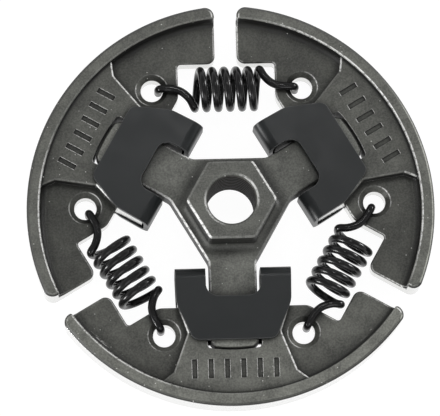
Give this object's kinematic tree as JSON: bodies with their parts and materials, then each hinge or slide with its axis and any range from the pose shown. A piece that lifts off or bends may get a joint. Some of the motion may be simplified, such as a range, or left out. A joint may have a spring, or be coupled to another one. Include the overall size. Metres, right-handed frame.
{
  "type": "chainsaw clutch",
  "caption": "Centrifugal clutch with a hexagon-nosed, threaded carrier whose arms guide sliding friction shoes that tension springs pull inward.",
  "frame": {"origin": "centre of the hub's back face, on the crankshaft's axis", "axes": "+Z along the axis from the hub's back face to the hexagon nose; +Y through the gap between shoe_1 and shoe_2; shoe_3 towards -Y"},
  "size_m": [0.073, 0.0729, 0.0123],
  "materials": {
    "carrier_steel": "steam-treated sintered steel",
    "shoe_steel": "steam-treated sintered steel",
    "retainer_sheet": "blackened spring steel sheet",
    "spring_wire": "oiled black spring wire"
  },
  "bodies": {
    "carrier": {"carrier": "carrier_steel", "spring_1": "spring_wire", "spring_2": "spring_wire", "spring_3": "spring_wire"},
    "shoe_1": {"shoe_1": "shoe_steel", "retainer_1": "retainer_sheet"},
    "shoe_2": {"shoe_2": "shoe_steel", "retainer_2": "retainer_sheet"},
    "shoe_3": {"shoe_3": "shoe_steel", "retainer_3": "retainer_sheet"}
  },
  "joints": [
    {"name": "shoe_1_slide", "type": "slide", "parent": "carrier", "child": "shoe_1", "axis": [0.866, 0.5, 0], "range_m": [0, 0.0012], "stiffness_N_per_m": 36000, "deforming": ["spring_1", "spring_3"]},
    {"name": "shoe_2_slide", "type": "slide", "parent": "carrier", "child": "shoe_2", "axis": [-0.866, 0.5, 0], "range_m": [0, 0.0012], "stiffness_N_per_m": 36000, "deforming": ["spring_1", "spring_2"]},
    {"name": "shoe_3_slide", "type": "slide", "parent": "carrier", "child": "shoe_3", "axis": [0, -1, 0], "range_m": [0, 0.0012], "stiffness_N_per_m": 36000, "deforming": ["spring_2", "spring_3"]}
  ]
}
